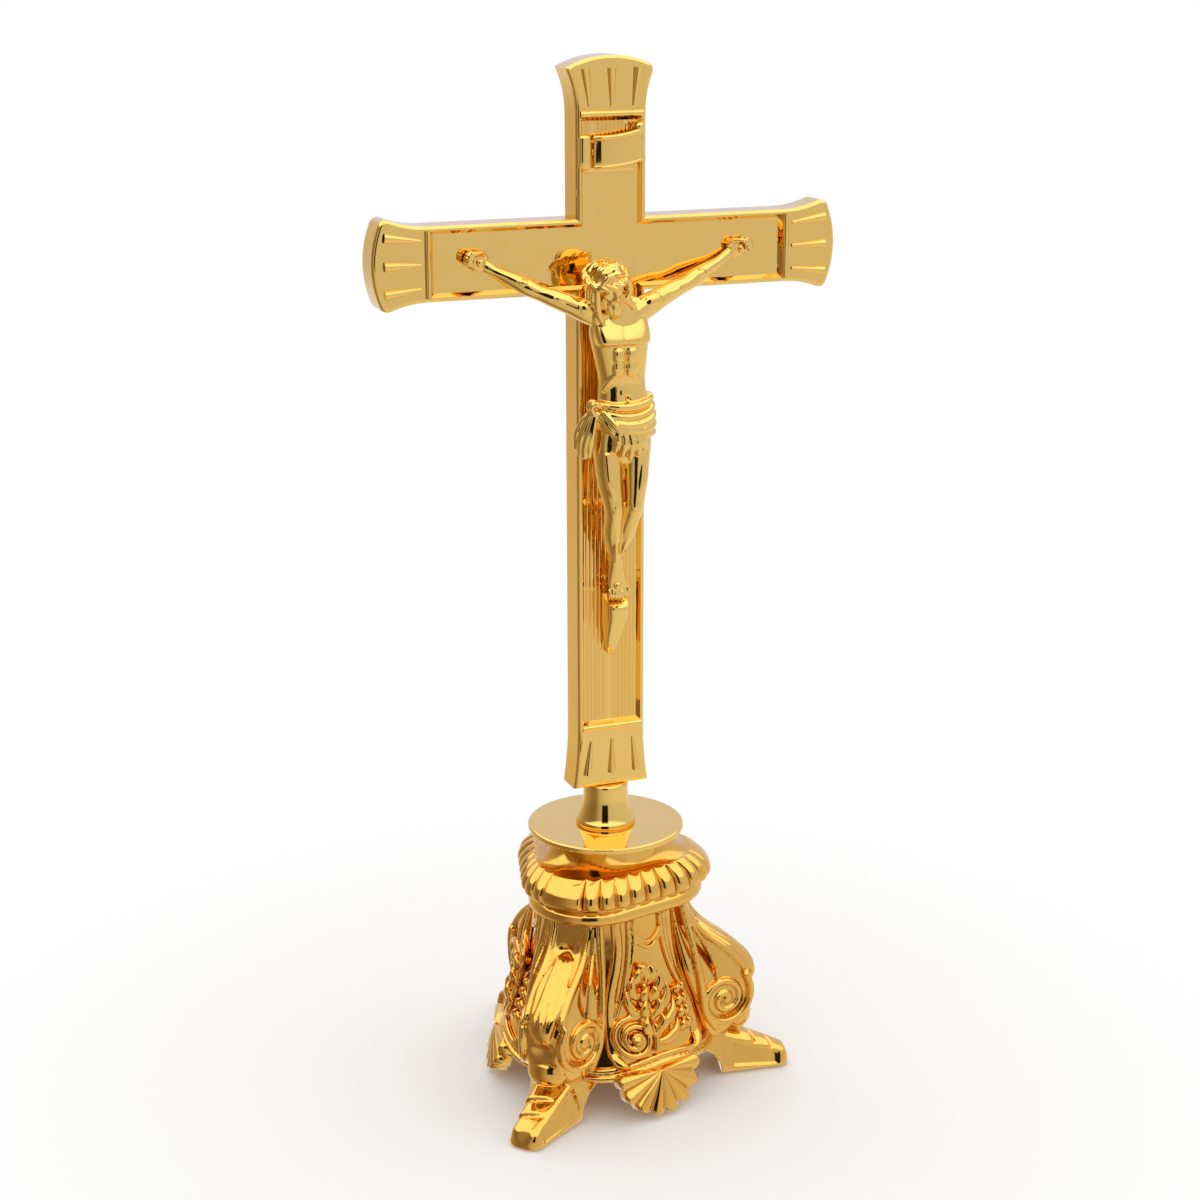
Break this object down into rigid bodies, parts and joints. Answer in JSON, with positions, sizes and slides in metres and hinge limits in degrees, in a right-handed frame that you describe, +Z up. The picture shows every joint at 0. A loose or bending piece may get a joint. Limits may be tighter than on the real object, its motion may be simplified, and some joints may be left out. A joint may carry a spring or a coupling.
{
  "type": "altar crucifix",
  "caption": "Standing altar crucifix: a flared cross with a cast figure, clamped by a rod on a turned neck, a drip pan and a scroll-legged tripod base.",
  "frame": {"origin": "on the ground, at the middle of the part's outline in plan; the stem axis stands in front of it", "axes": "+Z up along the stem, +X along the crossbar to the viewer's right, the front with the figure faces -Y"},
  "size_m": [0.1204, 0.0874, 0.267],
  "materials": {
    "gold_polish": "mirror-polished gold plate on cast brass",
    "gold_cast": "bright gold plate on an ornate brass casting",
    "steel": "zinc-plated steel hardware"
  },
  "bodies": {
    "base": {"base_casting": "gold_cast", "scroll_legs": "gold_cast", "face_shells": "gold_cast", "drip_pan": "gold_polish", "neck_collar": "gold_polish", "plain_washer": "steel"},
    "cross": {"cross_body": "gold_polish", "titulus_scroll": "gold_polish", "titulus_pins": "steel", "corpus": "gold_polish", "foot_rest": "gold_polish", "corpus_nails": "gold_polish", "tie_rod": "steel", "spring_washer": "steel", "clamp_nut": "steel"}
  },
  "joints": [
    {"name": "cross_turn", "type": "hinge", "parent": "base", "child": "cross", "pos_m": [0, -0.00573, 0.0827], "axis": [0, 0, 1], "continuous": true}
  ]
}
